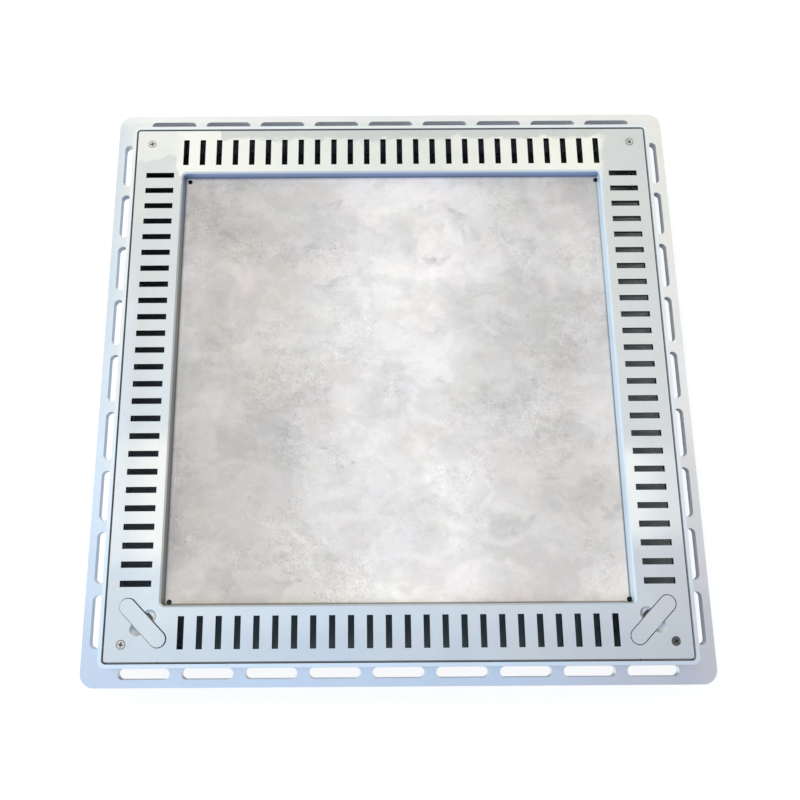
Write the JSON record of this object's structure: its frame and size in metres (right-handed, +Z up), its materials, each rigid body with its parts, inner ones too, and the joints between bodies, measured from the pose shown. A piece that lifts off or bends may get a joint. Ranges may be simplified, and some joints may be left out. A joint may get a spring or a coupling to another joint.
{
  "type": "recessed access cover",
  "caption": "Square tile-in access cover with a slotted drainage rim, screwed into a frame with a perforated anchor flange.",
  "frame": {"origin": "middle of the frame's underside", "axes": "+Z up out of the cover's top face; -Y towards the two keyholes; +X to the right when seen from the keyholes"},
  "size_m": [0.6, 0.6, 0.05],
  "materials": {
    "rim_steel": "satin",
    "frame_steel": "satin",
    "tray_steel": "mill finish",
    "plug_steel": "satin",
    "screw_steel": "dull",
    "inner_steel": "mill finish"
  },
  "bodies": {
    "root": {"frame_upstand": "frame_steel", "anchor_flange": "frame_steel", "slotted_rim": "rim_steel", "infill_tray": "tray_steel", "keyhole_plug_left": "plug_steel", "keyhole_plug_right": "plug_steel", "corner_screws": "screw_steel", "corner_bracket_back_left": "inner_steel", "corner_bracket_back_right": "inner_steel", "corner_bracket_front_left": "inner_steel", "corner_bracket_front_right": "inner_steel", "seat_bar_front": "inner_steel", "seat_bar_back": "inner_steel", "seat_bar_left": "inner_steel", "seat_bar_right": "inner_steel", "keyhole_seat_left": "inner_steel", "keyhole_seat_right": "inner_steel", "tray_rib_left": "inner_steel", "tray_rib_middle": "inner_steel", "tray_rib_right": "inner_steel"}
  },
  "joints": []
}
